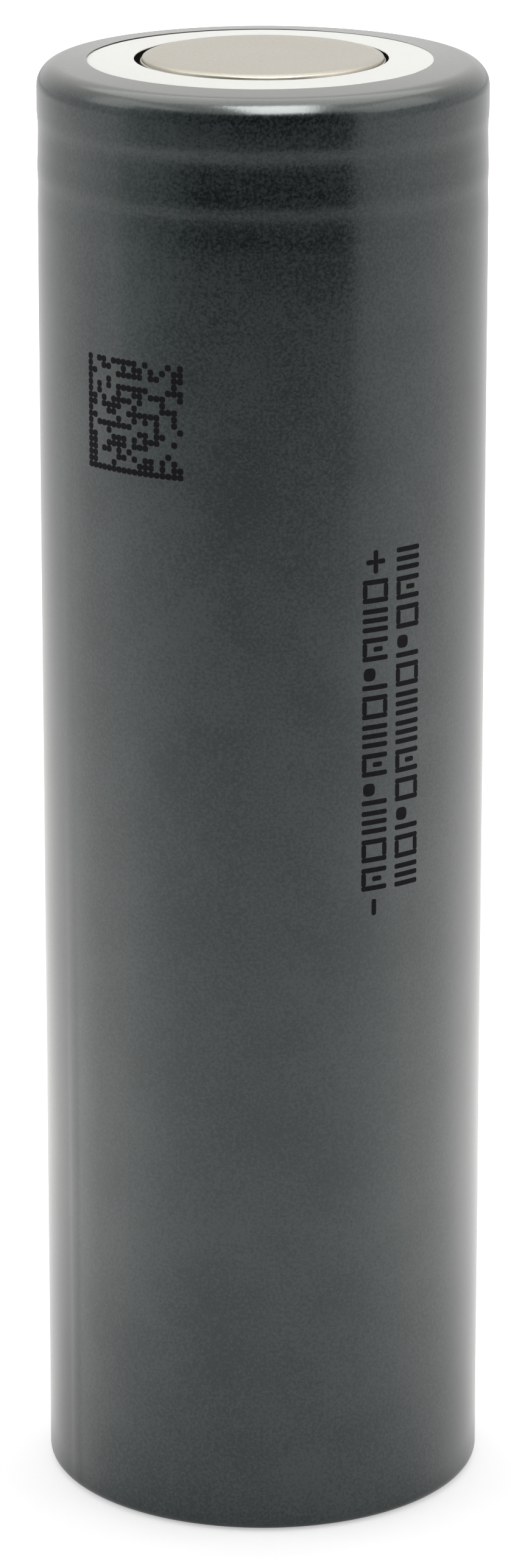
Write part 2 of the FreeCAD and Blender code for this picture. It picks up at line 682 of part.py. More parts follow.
os.makedirs("parts", exist_ok=True)
for part in PARTS:
    part.Shape.exportStep(f"parts/{part.Label}.step")
    box = part.Shape.BoundBox
    print(f"{part.Label:24s} solids {len(part.Shape.Solids)} volume {part.Shape.Volume:9.2f} mm3"
          f"  radius {max(box.XMax, -box.XMin):6.3f}  z {box.ZMin:7.3f} to {box.ZMax:7.3f}")
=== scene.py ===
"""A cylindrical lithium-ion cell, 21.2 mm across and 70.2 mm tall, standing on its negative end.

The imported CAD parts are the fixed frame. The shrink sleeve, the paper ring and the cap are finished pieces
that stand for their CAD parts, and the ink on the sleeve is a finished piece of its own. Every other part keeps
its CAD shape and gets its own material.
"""

import bmesh
import bpy
import math
import random
from mathutils import Matrix, Vector, noise


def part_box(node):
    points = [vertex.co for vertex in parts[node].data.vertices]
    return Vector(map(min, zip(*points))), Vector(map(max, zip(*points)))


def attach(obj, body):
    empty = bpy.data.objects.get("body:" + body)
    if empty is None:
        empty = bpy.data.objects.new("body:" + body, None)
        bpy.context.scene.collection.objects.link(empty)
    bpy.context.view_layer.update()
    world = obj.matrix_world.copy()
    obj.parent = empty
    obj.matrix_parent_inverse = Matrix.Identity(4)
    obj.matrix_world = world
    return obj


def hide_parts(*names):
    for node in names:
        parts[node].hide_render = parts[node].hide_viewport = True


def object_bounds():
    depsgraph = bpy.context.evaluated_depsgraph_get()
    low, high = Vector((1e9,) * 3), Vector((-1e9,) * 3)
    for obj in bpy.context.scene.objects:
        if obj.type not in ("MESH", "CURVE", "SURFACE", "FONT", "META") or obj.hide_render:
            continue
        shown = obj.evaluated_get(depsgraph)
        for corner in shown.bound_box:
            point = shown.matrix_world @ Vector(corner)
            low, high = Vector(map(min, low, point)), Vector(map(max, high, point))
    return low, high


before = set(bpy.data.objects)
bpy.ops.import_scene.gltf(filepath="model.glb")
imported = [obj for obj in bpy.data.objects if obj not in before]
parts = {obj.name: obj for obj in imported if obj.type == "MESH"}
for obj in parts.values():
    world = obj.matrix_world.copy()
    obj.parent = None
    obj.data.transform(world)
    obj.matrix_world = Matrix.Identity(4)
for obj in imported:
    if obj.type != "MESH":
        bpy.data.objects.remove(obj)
cad_low, cad_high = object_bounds()
MM = 0.001


# ---------------------------------------------------------------- wound roll: aluminium and copper foils
# Two foils are wound together round a mandrel, cathode foil in aluminium and anode foil in copper. Both are
# rolled strip, bright and thin, with faint lines along the rolling direction, which here runs round the roll.

def add_node(tree, kind, settings=None, inputs=None):
    """A node with its settings, and each input either set to a value or linked from another node's output."""
    node = tree.nodes.new(kind)
    for name, value in (settings or {}).items():
        setattr(node, name, value)
    for name, value in (inputs or {}).items():
        if isinstance(value, bpy.types.NodeSocket):
            tree.links.new(value, node.inputs[name])
        else:
            node.inputs[name].default_value = value
    return node


def calculate(tree, operation, first, second=None, third=None, clamp=False):
    """The result of one Math node."""
    terms = {i: term for i, term in enumerate((first, second, third)) if term is not None}
    return add_node(tree, "ShaderNodeMath", {"operation": operation, "use_clamp": clamp}, terms).outputs[0]


def effect_group(name, inputs, outputs):
    """An empty shader node group. inputs is {name: (kind, value)} and outputs is {name: kind}."""
    group = bpy.data.node_groups.new(name, "ShaderNodeTree")
    for socket, (kind, value) in inputs.items():
        group.interface.new_socket(socket, in_out="INPUT", socket_type=f"NodeSocket{kind}").default_value = value
    for socket, kind in outputs.items():
        group.interface.new_socket(socket, in_out="OUTPUT", socket_type=f"NodeSocket{kind}")
    return group, group.nodes.new("NodeGroupInput"), group.nodes.new("NodeGroupOutput")


def mixed_colour(tree, share, low, high):
    """A Mix node of two colours, and its result."""
    node = add_node(tree, "ShaderNodeMix", {"data_type": "RGBA"})
    for socket, value in ((node.inputs[0], share), (node.inputs[6], low), (node.inputs[7], high)):
        if isinstance(value, bpy.types.NodeSocket):
            tree.links.new(value, socket)
        else:
            socket.default_value = value
    return node.outputs[2]


def spread(tree, value, low, high):
    """value, from 0 to 1, spread over low to high."""
    node = add_node(tree, "ShaderNodeMapRange", None, {"Value": value})
    for name, end in (("To Min", low), ("To Max", high)):
        if isinstance(end, bpy.types.NodeSocket):
            tree.links.new(end, node.inputs[name])
        else:
            node.inputs[name].default_value = end
    return node.outputs["Result"]


def grain_effect():
    """Rolled or pressed grain: noise on the object's own coordinates, stretched by Stretch."""
    tree, given, result = effect_group(
        "surface_grain",
        {
            "Dark": ("Color", (0.5, 0.5, 0.5, 1)),
            "Light": ("Color", (0.6, 0.6, 0.6, 1)),
            "Stretch": ("Vector", (1, 1, 1)),
            "Scale": ("Float", 1000.0),
            "Smooth": ("Float", 0.3),
            "Rough": ("Float", 0.4),
        },
        {"Color": "Color", "Roughness": "Float", "Height": "Float"},
    )
    place = add_node(tree, "ShaderNodeTexCoord").outputs["Object"]
    stretched = add_node(tree, "ShaderNodeVectorMath", {"operation": "MULTIPLY"}, {
        0: place, 1: given.outputs["Stretch"]})
    fine = add_node(tree, "ShaderNodeTexNoise", None, {
        "Vector": stretched.outputs[0], "Scale": given.outputs["Scale"], "Detail": 4.0, "Roughness": 0.6})
    broad = add_node(tree, "ShaderNodeTexNoise", None, {"Vector": place, "Scale": 180.0, "Detail": 2.0})
    both = calculate(tree, "ADD", calculate(tree, "MULTIPLY", fine.outputs[0], 0.65),
                     calculate(tree, "MULTIPLY", broad.outputs[0], 0.35))
    share = spread(tree, calculate(tree, "MULTIPLY_ADD", both, 2.6, -0.8, clamp=True), 0.0, 1.0)
    tree.links.new(mixed_colour(tree, share, given.outputs["Dark"], given.outputs["Light"]), result.inputs["Color"])
    tree.links.new(spread(tree, share, given.outputs["Rough"], given.outputs["Smooth"]), result.inputs["Roughness"])
    tree.links.new(fine.outputs[0], result.inputs["Height"])
    return tree


surface_grain = grain_effect()


def grained_material(name, dark, light, scale, stretch=(1, 1, 1), roughness=(0.3, 0.4), metal=0.0, bump=0.1,
                     depth=0.01):
    """A material whose colour, roughness and height follow the surface grain. depth is in millimetres."""
    material = bpy.data.materials.new(name)
    material.use_nodes = True
    tree = material.node_tree
    shader = tree.nodes["Principled BSDF"]
    grain = add_node(tree, "ShaderNodeGroup", {"node_tree": surface_grain}, {
        "Dark": (*dark, 1), "Light": (*light, 1), "Stretch": stretch, "Scale": scale,
        "Smooth": roughness[0], "Rough": roughness[1],
    })
    height = add_node(tree, "ShaderNodeBump", None, {
        "Strength": bump, "Distance": depth * MM, "Height": grain.outputs["Height"]})
    tree.links.new(grain.outputs["Color"], shader.inputs["Base Color"])
    tree.links.new(grain.outputs["Roughness"], shader.inputs["Roughness"])
    tree.links.new(height.outputs[0], shader.inputs["Normal"])
    shader.inputs["Metallic"].default_value = metal
    return material


def wear(part, material):
    """Gives a CAD part its material, in place of the plain one that it was packed with."""
    part.data.materials.clear()
    part.data.materials.append(material)


aluminium_foil = grained_material(
    "rolled_aluminium_foil", (0.72, 0.73, 0.74), (0.86, 0.86, 0.87), 900, (1, 1, 9), (0.22, 0.34), 1.0, 0.15
)
copper_foil = grained_material(
    "rolled_copper_foil", (0.66, 0.30, 0.17), (0.87, 0.47, 0.30), 900, (1, 1, 9), (0.22, 0.36), 1.0, 0.15
)
wear(parts["cathode_foil"], aluminium_foil)
wear(parts["anode_foil"], copper_foil)


# ---------------------------------------------------------------- wound roll: coatings
# Each foil is coated on both sides with a pressed powder. The cathode's is a dense black metal oxide and the
# anode's is dark grey graphite with a slight lustre. Both are calendered, so they are even and matt.

cathode_coating = grained_material(
    "pressed_oxide_coating", (0.018, 0.018, 0.020), (0.040, 0.040, 0.043), 5200, roughness=(0.62, 0.80), bump=0.3
)
graphite_coating = grained_material(
    "pressed_graphite_coating", (0.040, 0.042, 0.045), (0.085, 0.088, 0.092), 4200, roughness=(0.45, 0.62), bump=0.3
)
for name in ("cathode_inner_coating", "cathode_outer_coating"):
    wear(parts[name], cathode_coating)
for name in ("anode_inner_coating", "anode_outer_coating"):
    wear(parts[name], graphite_coating)


# ---------------------------------------------------------------- wound roll: separators and tapes
# Two porous plastic films keep the foils apart and reach past them at both ends. Amber tape covers the bare
# foil at each tab, and a pale green tape holds the last turn of the roll shut.

separator_film = grained_material(
    "porous_separator_film", (0.80, 0.81, 0.80), (0.90, 0.90, 0.89), 2600, (1, 1, 3), (0.42, 0.55), bump=0.2
)
amber_tape = grained_material(
    "amber_polyimide_tape", (0.42, 0.17, 0.02), (0.60, 0.27, 0.04), 700, (1, 1, 4), (0.22, 0.34), bump=0.15
)
closing_tape = grained_material(
    "pale_closing_tape", (0.30, 0.52, 0.40), (0.42, 0.62, 0.50), 700, (1, 1, 4), (0.25, 0.36), bump=0.15
)
for name in ("inner_separator", "outer_separator"):
    wear(parts[name], separator_film)
for name in ("cathode_tab_tape", "anode_tab_tape"):
    wear(parts[name], amber_tape)
wear(parts["roll_closing_tape"], closing_tape)


# ---------------------------------------------------------------- tabs and insulators round the roll
# An aluminium tab carries the cathode's current up to the header and a nickel tab carries the anode's down to
# the can. A pressed fibre disc with a hole for the tab lies at each end of the roll.

tab_aluminium = grained_material(
    "slit_aluminium_strip", (0.66, 0.67, 0.68), (0.84, 0.84, 0.85), 1500, (8, 8, 1), (0.26, 0.38), 1.0, 0.2
)
tab_nickel = grained_material(
    "slit_nickel_strip", (0.52, 0.50, 0.46), (0.70, 0.68, 0.64), 1500, (8, 8, 1), (0.26, 0.38), 1.0, 0.2
)
insulator_fibre = grained_material(
    "pressed_insulator_fibre", (0.50, 0.44, 0.32), (0.66, 0.60, 0.47), 1900, (1, 3, 1), (0.70, 0.85), bump=0.5
)
wear(parts["positive_tab"], tab_aluminium)
wear(parts["negative_tab"], tab_nickel)
for name in ("upper_insulator", "lower_insulator"):
    wear(parts[name], insulator_fibre)


# ---------------------------------------------------------------- can
# The can is deep drawn from nickel-plated steel strip, so faint draw lines run up its wall. Its floor is the
# negative terminal. A bead is rolled in under the header, and its rim is crimped over the gasket.

can_steel = grained_material(
    "drawn_nickel_plated_steel", (0.50, 0.49, 0.46), (0.64, 0.63, 0.60), 1300, (6, 6, 0.6), (0.24, 0.36), 1.0, 0.2
)
wear(parts["can"], can_steel)


# ---------------------------------------------------------------- header
# Under the cap lie an aluminium vent disc with a ring score, a plastic ring and an aluminium contact plate.
# The gasket is moulded polypropylene, closed round the stack when the can's rim is crimped.

header_aluminium = grained_material(
    "stamped_header_aluminium", (0.66, 0.67, 0.68), (0.82, 0.82, 0.83), 1600, roughness=(0.28, 0.42), metal=1.0,
    bump=0.25,
)
gasket_plastic = grained_material(
    "moulded_gasket_polypropylene", (0.055, 0.055, 0.058), (0.085, 0.085, 0.090), 900, roughness=(0.42, 0.55),
    bump=0.15,
)
header_plastic = grained_material(
    "moulded_header_insulator", (0.62, 0.62, 0.60), (0.74, 0.74, 0.72), 900, roughness=(0.40, 0.52), bump=0.15
)
for name in ("vent_disc", "cid_plate"):
    wear(parts[name], header_aluminium)
wear(parts["header_gasket"], gasket_plastic)
wear(parts["cid_insulator"], header_plastic)


# ---------------------------------------------------------------- positive cap
# The cap is stamped from steel strip and barrel plated in matt nickel. Its flat top slopes off at the edge, and
# four vent windows are punched through the riser below.

CAP_TOP = cad_high.z
CAP_SHEET = 0.45 * MM
CAP_FLAT_RADIUS = 5.30 * MM
CAP_KNEE_RADIUS = 5.64 * MM
CAP_KNEE = 70.11 * MM
CAP_KNEE_DRAFT = 0.04 * MM
CAP_RIM = 69.96 * MM
CAP_RIM_FALL = 0.02 * MM
CAP_RIM_RADIUS = 5.75 * MM
CAP_FLANGE_RADIUS = 9.7 * MM
CAP_FLANGE_TOP = 68.9 * MM
# which corner of the section, its rounding in millimetres, and the segments of the rounding
CAP_ROUNDS = ((1, 0.1, 5), (2, 0.05, 4), (4, 0.05, 3), (7, 0.1, 3), (8, 0.06, 2), (9, 0.06, 2), (10, 0.2, 3),
              (13, 0.15, 3))
WINDOW_LEVELS = (69.02 * MM, 69.42 * MM)
WINDOW_WIDTH = math.radians(31)
WINDOW_COUNT = 4
# these two also serve the other pieces that are built here
STEPS_ROUND = 192
SMOOTH_BELOW = math.radians(40)


def section(bm, corners, closed=True):
    """A line of edges through (radius, height) corners on the XZ plane."""
    made = [bm.verts.new((radius, 0, height)) for radius, height in corners]
    ends = made[1:] + made[:1] if closed else made[1:]
    for first, second in zip(made, ends):
        bm.edges.new((first, second))
    return made


def round_corner(bm, corner, offset, segments):
    """Rounds one corner of a section."""
    bmesh.ops.bevel(bm, geom=[corner], offset=offset, offset_type="OFFSET", segments=segments, profile=0.5,
                    affect="VERTICES", material=-1, clamp_overlap=False)


def spin_section(bm):
    """Spins a section once round Z and closes it, with its faces outwards."""
    bmesh.ops.spin(bm, geom=bm.verts[:] + bm.edges[:], cent=(0, 0, 0), axis=(0, 0, 1), angle=2 * math.pi,
                   steps=STEPS_ROUND, use_merge=True, use_duplicate=False)
    bmesh.ops.remove_doubles(bm, verts=bm.verts[:], dist=1e-7)
    bmesh.ops.recalc_face_normals(bm, faces=bm.faces[:])


def turn_between(angle, other):
    """The turn from other to angle, within half a turn each way."""
    return (angle - other + math.pi) % (2 * math.pi) - math.pi


def finished(name, bm, material):
    """An object made from a bmesh, smooth except where its faces meet at a sharp angle."""
    mesh = bpy.data.meshes.new(name)
    for face in bm.faces:
        face.smooth = True
    for edge in bm.edges:
        edge.smooth = len(edge.link_faces) == 2 and edge.calc_face_angle(0.0) < SMOOTH_BELOW
    bm.to_mesh(mesh)
    bm.free()
    mesh.materials.append(material)
    made = bpy.data.objects.new(name, mesh)
    bpy.context.scene.collection.objects.link(made)
    return made


def cap_mesh():
    """The cap's section, from the middle of its top out to the flange and back inside, spun and pierced."""
    bm = bmesh.new()
    inner_wall = CAP_RIM_RADIUS - CAP_SHEET
    corners = section(bm, [
        (0, CAP_TOP), (CAP_FLAT_RADIUS, CAP_TOP), (CAP_KNEE_RADIUS, CAP_KNEE),
        (CAP_KNEE_RADIUS + CAP_KNEE_DRAFT, CAP_RIM), (CAP_RIM_RADIUS, CAP_RIM - CAP_RIM_FALL),
        (CAP_RIM_RADIUS, WINDOW_LEVELS[1]), (CAP_RIM_RADIUS, WINDOW_LEVELS[0]),
        (CAP_RIM_RADIUS, CAP_FLANGE_TOP), (CAP_FLANGE_RADIUS, CAP_FLANGE_TOP),
        (CAP_FLANGE_RADIUS, CAP_FLANGE_TOP - CAP_SHEET), (inner_wall, CAP_FLANGE_TOP - CAP_SHEET),
        (inner_wall, WINDOW_LEVELS[0]), (inner_wall, WINDOW_LEVELS[1]), (inner_wall, CAP_RIM - CAP_SHEET),
        (CAP_FLAT_RADIUS - CAP_SHEET, CAP_TOP - CAP_SHEET), (0, CAP_TOP - CAP_SHEET),
    ], closed=False)
    for corner, offset, segments in CAP_ROUNDS:
        round_corner(bm, corners[corner], offset * MM, segments)
    flat = [e for e in bm.edges if abs(e.verts[0].co.z - e.verts[1].co.z) < 1e-9 and e.calc_length() > 2 * MM]
    bmesh.ops.subdivide_edges(bm, edges=flat, cuts=5)
    spin_section(bm)
    # each window is cut through both sides of the riser, and its rims are joined
    middle = sum(WINDOW_LEVELS) / 2
    for window in range(WINDOW_COUNT):
        opened = []
        for face in bm.faces:
            at = face.calc_center_median()
            turn = turn_between(math.atan2(at.y, at.x), 2 * math.pi * window / WINDOW_COUNT)
            if abs(turn) < WINDOW_WIDTH / 2 and abs(at.z - middle) < 0.15 * MM and abs(face.normal.z) < 0.5:
                opened.append(face)
        bmesh.ops.delete(bm, geom=opened, context="FACES")
        rims = [e for e in bm.edges if len(e.link_faces) == 1]
        bmesh.ops.bridge_loops(bm, edges=rims)
    bmesh.ops.recalc_face_normals(bm, faces=bm.faces[:])
    return bm


cap_nickel = grained_material(
    "matt_plated_cap_nickel", (0.363, 0.337, 0.281), (0.426, 0.399, 0.341), 5200, roughness=(0.32, 0.40), metal=1.0,
    bump=0.3, depth=0.006,
)
positive_cap = finished("stamped_positive_cap", cap_mesh(), cap_nickel)
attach(positive_cap, "root")
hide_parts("positive_cap")


# ---------------------------------------------------------------- paper ring
# A white ring punched from pressed paper lies on the crimped rim and keeps the can away from the cap. The
# sleeve's top fold holds it down.

ring_paper = grained_material(
    "pressed_white_paper", (0.83, 0.83, 0.79), (0.865, 0.865, 0.83), 3000, (1, 2.5, 1), (0.80, 0.92), bump=0.5,
    depth=0.02,
)
RING_HOLE_RADIUS = 5.95 * MM
RING_LIP = 70.04 * MM
RING_LIP_THICKNESS = 0.05 * MM
# where the ring dips under the film's cut edge, lies against the film, and ends under the shoulder
RING_DIP = (7.95 * MM, 69.985 * MM)
RING_PRESSED = (8.65 * MM, 69.855 * MM)
RING_END = (9.5 * MM, 69.715 * MM)
RING_FOOT_RADIUS = 8.3 * MM
RING_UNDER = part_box("top_insulator_ring")[0].z
# which corner of the section, its rounding in millimetres, and the segments of the rounding
RING_ROUNDS = ((0, 0.015, 1), (1, 0.03, 3), (2, 0.1, 3), (3, 0.15, 3), (4, 0.03, 2), (5, 0.03, 2))
HOLE_SHIFT = -0.08 * MM
HOLE_REACH = 1.2 * MM
HOLE_UNEVEN = 0.02 * MM


def ring_mesh():
    """The ring is squeezed thin under the fold and stands a little proud round its hole."""
    bm = bmesh.new()
    corners = section(bm, [
        (RING_HOLE_RADIUS, RING_LIP - RING_LIP_THICKNESS), (RING_HOLE_RADIUS, RING_LIP), RING_DIP, RING_PRESSED,
        RING_END, (RING_END[0], RING_UNDER), (RING_FOOT_RADIUS, RING_UNDER),
    ])
    for corner, offset, segments in RING_ROUNDS:
        round_corner(bm, corners[corner], offset * MM, segments)
    broad = [e for e in bm.edges if e.calc_length() > 0.6 * MM]
    bmesh.ops.subdivide_edges(bm, edges=broad, cuts=6)
    spin_section(bm)
    for vert in bm.verts:
        radius, angle = math.hypot(vert.co.x, vert.co.y), math.atan2(vert.co.y, vert.co.x)
        near_hole = max(0.0, 1 - (radius - RING_HOLE_RADIUS) / HOLE_REACH)
        cut = noise.noise(Vector((5 * math.cos(angle), 5 * math.sin(angle), 2)))
        cut += 0.5 * noise.noise(Vector((30 * math.cos(angle), 30 * math.sin(angle), 4)))
        wave = noise.noise(Vector((1.5 * math.cos(angle), 1.5 * math.sin(angle), 9)))
        new_radius = radius + HOLE_UNEVEN * cut * near_hole
        vert.co.x = vert.co.x * new_radius / radius + HOLE_SHIFT * near_hole
        vert.co.y *= new_radius / radius
        if vert.co.z > RING_UNDER + 0.1 * MM:
            vert.co.z += HOLE_UNEVEN * wave * near_hole
    return bm


top_ring = finished("paper_top_ring", ring_mesh(), ring_paper)
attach(top_ring, "root")
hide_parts("top_insulator_ring")


# ---------------------------------------------------------------- shrink sleeve
# The sleeve is a tube of dark satin film shrunk over the can with hot air. It folds over both ends, bridges the
# rolled bead as a shallow waist, keeps a crease from lying flat, and its cut edges come out slightly uneven.

FILM_RADIUS = 10.6 * MM
FILM_THICKNESS = 0.1 * MM
FILM_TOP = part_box("sleeve")[1].z
TOP_OPENING = 8.11 * MM
OPENING_SHIFT = -0.14 * MM
FOLD_SLOPE = 0.07
BOTTOM_OPENING = 7.5 * MM
SHOULDER_OFFSET = 1.03 * MM
FOOT_RADIUS = 0.5 * MM
FOLD_LIP = 0.5 * MM
FOLD_LIP_THICKNESS = 0.2 * FILM_THICKNESS
WALL_ROWS = 140
ROW_CROWDING = 1.6
# how far in from each cut edge the cut's unevenness reaches, and its size
TOP_REACH, TOP_UNEVEN = 1.6 * MM, 0.04 * MM
BOTTOM_REACH, BOTTOM_UNEVEN = 2 * MM, 0.12 * MM
# unevenness of the wall and of the shoulder, in millimetres
WALL_UNEVEN, SHOULDER_UNEVEN = 0.010, 0.014
# height and how far the film is pulled in there, both in millimetres
WAIST = ((60.0, 0.0), (63.0, 0.008), (63.8, 0.026), (64.33, 0.031), (64.83, 0.004), (65.05, 0.002), (66.0, 0.034),
         (66.72, 0.052), (66.88, 0.050), (67.72, 0.004), (68.1, 0.0))
# one crease, where the film lies up to CREASE_HEIGHT millimetres further in on both sides of a narrow ridge
CREASE_ANGLE = math.radians(210)
CREASE_HEIGHT = 0.035
CREASE_RIDGE = math.radians(1.875)
CREASE_SIDE = math.radians(12)


def eased(share):
    """share, from 0 to 1, with a level start and end."""
    return share * share * (3 - 2 * share)


def unevenness(angle, times, row):
    """Smooth noise round a circle: times sets how fast it changes, and row picks one of many patterns."""
    return noise.noise(Vector((times * math.cos(angle), times * math.sin(angle), row)))


def film_pull(angle, height):
    """How far the film lies inside its plain cylinder: the waist over the bead, the crease, and an unevenness."""
    level = height / MM
    pull = 0.0
    for (z0, p0), (z1, p1) in zip(WAIST, WAIST[1:]):
        if z0 <= level < z1:
            pull = p0 + (p1 - p0) * eased((level - z0) / (z1 - z0))
    ends = min(1.0, max(0.0, level / 4), max(0.0, (69.0 - level) / 3))
    slow = WALL_UNEVEN * ends * (1 + unevenness(angle, 2.2, level * 0.12))
    shoulder = SHOULDER_UNEVEN * min(1.0, max(0.0, level - 68.4)) * (1 + unevenness(angle, 4, level))
    # the crease is sharpest low down, faint above 40 mm, and gone at 60 mm
    off_crease = abs(turn_between(angle, CREASE_ANGLE))
    crease = CREASE_HEIGHT * min(1.0, off_crease / CREASE_RIDGE) * eased(max(0.0, 1 - off_crease / CREASE_SIDE))
    crease *= min(1.0, max(0.25, (45 - level) / 25)) * min(1.0, max(0.0, (60 - level) / 10))
    return (pull + shoulder + crease + slow) * MM


def sleeve_mesh():
    """The film's closed section, spun, then pulled in over the bead and made uneven at its cut edges."""
    bm = bmesh.new()
    inside = FILM_RADIUS - FILM_THICKNESS

    def fold(radius, under=0.0):
        return radius, FILM_TOP - FOLD_SLOPE * (radius - TOP_OPENING) - under

    corners = section(bm, [
        fold(TOP_OPENING), fold(FILM_RADIUS), (FILM_RADIUS, 0), (BOTTOM_OPENING, 0),
        (BOTTOM_OPENING, FILM_THICKNESS), (inside, FILM_THICKNESS), fold(inside, FILM_THICKNESS),
        fold(TOP_OPENING + FOLD_LIP, FILM_THICKNESS), fold(TOP_OPENING, FOLD_LIP_THICKNESS),
    ])
    outer_shoulder, outer_foot, inner_foot, inner_shoulder = corners[1], corners[2], corners[5], corners[6]
    round_corner(bm, outer_shoulder, SHOULDER_OFFSET, 20)
    round_corner(bm, outer_foot, FOOT_RADIUS, 6)
    round_corner(bm, inner_foot, FOOT_RADIUS - FILM_THICKNESS, 4)
    round_corner(bm, inner_shoulder, SHOULDER_OFFSET - FILM_THICKNESS, 10)
    walls = [e for e in bm.edges if min(v.co.x for v in e.verts) > FILM_RADIUS - 1e-6 and e.calc_length() > 10 * MM]
    level = [e for e in bm.edges if abs(e.verts[0].co.z - e.verts[1].co.z) < 0.5 * MM]
    folds = [e for e in level if e.calc_length() > 0.5 * MM]
    bmesh.ops.subdivide_edges(bm, edges=walls, cuts=WALL_ROWS)
    bmesh.ops.subdivide_edges(bm, edges=folds, cuts=7)
    # the wall's rows are crowded where the film bridges the bead
    wall_foot, wall_head = FOOT_RADIUS, fold(FILM_RADIUS)[1] - SHOULDER_OFFSET
    for vert in bm.verts:
        if vert.co.x > FILM_RADIUS - 1e-6:
            share = (vert.co.z - wall_foot) / (wall_head - wall_foot)
            if 0 < share < 1:
                vert.co.z = wall_foot + (wall_head - wall_foot) * (1 - (1 - share) ** ROW_CROWDING)
    spin_section(bm)
    for vert in bm.verts:
        radius, angle = math.hypot(vert.co.x, vert.co.y), math.atan2(vert.co.y, vert.co.x)
        moved, slide = radius, 0.0
        if radius > FILM_RADIUS - FILM_THICKNESS / 2:
            moved = radius - film_pull(angle, vert.co.z)
        elif vert.co.z > FILM_TOP / 2:
            uneven = unevenness(angle, 3, 5) + 0.4 * unevenness(angle, 11, 7)
            share = max(0.0, 1 - (radius - TOP_OPENING) / TOP_REACH)
            moved = radius + TOP_UNEVEN * uneven * share
            slide = OPENING_SHIFT * share
        else:
            uneven = unevenness(angle, 4, 15)
            share = max(0.0, 1 - (radius - BOTTOM_OPENING) / BOTTOM_REACH)
            moved = radius + BOTTOM_UNEVEN * uneven * share
        vert.co.x = vert.co.x * moved / radius + slide
        vert.co.y *= moved / radius
    return bm


def film_effect():
    """Satin film: a slow change of tone, a fine orange peel left by shrinking, and a paler fold over the rim, which is
    a painted reflection.
    """
    tree, given, result = effect_group(
        "satin_film",
        {"Dark": ("Color", (0.02, 0.02, 0.02, 1)), "Light": ("Color", (0.03, 0.03, 0.03, 1)),
         "PaintedFoldReflection": ("Color", (0.1, 0.1, 0.1, 1))},
        {"Color": "Color", "Roughness": "Float", "Height": "Float"},
    )
    place = add_node(tree, "ShaderNodeTexCoord").outputs["Object"]
    cloud = add_node(tree, "ShaderNodeTexNoise", None, {"Vector": place, "Scale": 260.0, "Detail": 3.0})
    peel = add_node(tree, "ShaderNodeTexNoise", None, {
        "Vector": place, "Scale": 6800.0, "Detail": 3.0, "Roughness": 0.65})
    both = calculate(tree, "ADD", calculate(tree, "MULTIPLY", cloud.outputs[0], 0.3),
                     calculate(tree, "MULTIPLY", peel.outputs[0], 0.7))
    share = calculate(tree, "MULTIPLY_ADD", both, 6.0, -2.5, clamp=True)
    plain = mixed_colour(tree, share, given.outputs["Dark"], given.outputs["Light"])
    axes = add_node(tree, "ShaderNodeSeparateXYZ", None, {"Vector": place})
    # the fold over the rim is painted paler: a painted reflection of the pale surround
    painted_reflection_on_fold = calculate(tree, "MULTIPLY_ADD", axes.outputs["Z"], 1250.0, -86.5, clamp=True)
    tree.links.new(mixed_colour(tree, painted_reflection_on_fold, plain, given.outputs["PaintedFoldReflection"]), result.inputs["Color"])
    tree.links.new(spread(tree, peel.outputs[0], 0.17, 0.25), result.inputs["Roughness"])
    tree.links.new(peel.outputs[0], result.inputs["Height"])
    return tree


def film_material():
    """Dark grey satin plastic with the film's orange peel, and a paler fold over the rim that is a painted reflection.
    """
    material = bpy.data.materials.new("dark_satin_shrink_film")
    material.use_nodes = True
    tree = material.node_tree
    shader = tree.nodes["Principled BSDF"]
    # the third colour is painted on the fold over the rim as a painted reflection of the pale surround
    film = add_node(tree, "ShaderNodeGroup", {"node_tree": film_effect()}, {
        "Dark": (0.005, 0.009, 0.010, 1), "Light": (0.034, 0.041, 0.042, 1), "PaintedFoldReflection": (0.172, 0.172, 0.153, 1)})
    height = add_node(tree, "ShaderNodeBump", None, {
        "Strength": 0.35, "Distance": 0.012 * MM, "Height": film.outputs["Height"]})
    tree.links.new(film.outputs["Color"], shader.inputs["Base Color"])
    tree.links.new(film.outputs["Roughness"], shader.inputs["Roughness"])
    tree.links.new(height.outputs[0], shader.inputs["Normal"])
    shader.inputs["IOR"].default_value = 1.58
    shader.inputs["Specular Tint"].default_value = (0.92, 1.0, 0.985, 1)
    return material


shrink_sleeve = finished("shrink_sleeve", sleeve_mesh(), film_material())
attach(shrink_sleeve, "root")
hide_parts("sleeve")


# ---------------------------------------------------------------- ink on the sleeve
# A printer on the line jets matt black ink onto the film: a square of dots, and two upright rows of marks, of
# which the left starts at a plus and ends at a minus. The dots are random and the marks are plain bars, so they say
# nothing.

INK_PROUD = 0.008 * MM
INK_SUNK = 0.004 * MM
STROKE = 0.24 * MM
MARK_ACROSS = 1.36 * MM
MARK_ALONG = 1.12 * MM
MARK_PITCH = 1.40 * MM
DOT_SIZE = 0.301 * MM
DOT_COUNT = 18
DOT_SHARE = 0.47
# across the front from the middle, and up from the foot: the first dot, and the first mark of each row
FIRST_DOT = (-9.01 * MM, 52.28 * MM)
LEFT_ROW = (5.46 * MM, 48.13 * MM)
RIGHT_ROW = (7.30 * MM, 48.08 * MM)


def rounded_patch(bm, width, height, middle):
    """A flat rounded rectangle on the XY plane, before the ink is wrapped round the sleeve."""
    placed = Matrix.Translation((*middle, 0)) @ Matrix.Diagonal((width, height, 1, 1))
    made = bmesh.ops.create_grid(bm, x_segments=1, y_segments=1, size=0.5, matrix=placed)["verts"]
    bmesh.ops.bevel(bm, geom=made, offset=min(width, height) * 0.35, offset_type="OFFSET", segments=3, profile=0.5,
                    affect="VERTICES", material=-1, clamp_overlap=True)


def mark_column(bm, first, kinds):
    """One upright row of marks. Each kind is a list of bars as (width, height, offset across, offset along)."""
    arc, top = first
    for place, kind in enumerate(kinds):
        for width, height, right, up in kind:
            rounded_patch(bm, width, height, (arc + right, top - place * MARK_PITCH + up))


